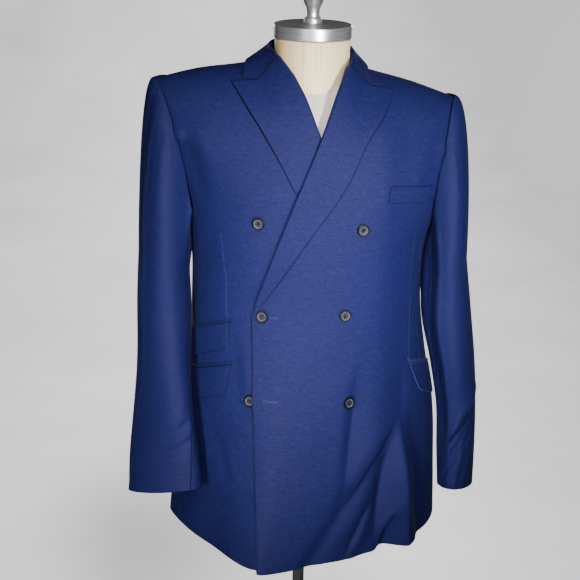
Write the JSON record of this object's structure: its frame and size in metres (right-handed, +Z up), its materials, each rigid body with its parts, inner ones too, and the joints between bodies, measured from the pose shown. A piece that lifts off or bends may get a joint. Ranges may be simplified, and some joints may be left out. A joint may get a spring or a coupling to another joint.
{
  "type": "double breasted blazer on a dress form",
  "caption": "Navy wool double breasted jacket with peak lapels and slanted flap pockets, worn filled out by a limbless dress form with a wooden neck, metal cap, pole and round base",
  "frame": {"origin": "middle of the round base's flat underside, on the floor, on the axis of the pole", "axes": "+Z up along the pole; the wearer's front faces -Y; +X is the wearer's left"},
  "size_m": [0.5686, 0.42, 1.6413],
  "materials": {
    "navy_wool": "matt woven wool with a soft sheen",
    "dark_horn": "polished dark horn",
    "linen": "plain linen cover",
    "birch": "satin birch",
    "aluminium": "brushed",
    "dark_steel": "glossy dark tube",
    "black_iron": "black"
  },
  "bodies": {
    "root": {"front_left": "navy_wool", "front_right": "navy_wool", "side_left": "navy_wool", "side_right": "navy_wool", "back_left": "navy_wool", "back_right": "navy_wool", "top_sleeve_left": "navy_wool", "under_sleeve_left": "navy_wool", "top_sleeve_right": "navy_wool", "under_sleeve_right": "navy_wool", "lapel_left": "navy_wool", "lapel_right": "navy_wool", "collar": "navy_wool", "collar_stand": "navy_wool", "breast_welt": "navy_wool", "flap_left": "navy_wool", "flap_right": "navy_wool", "flap_ticket": "navy_wool", "jet_left": "navy_wool", "jet_right": "navy_wool", "jet_ticket": "navy_wool", "button_left_top": "dark_horn", "button_left_middle": "dark_horn", "button_left_foot": "dark_horn", "button_right_top": "dark_horn", "button_right_middle": "dark_horn", "button_right_foot": "dark_horn", "form_torso": "linen", "form_neck": "birch", "form_cap": "aluminium", "form_finial": "aluminium", "form_pole": "dark_steel", "form_base": "black_iron"}
  },
  "joints": []
}
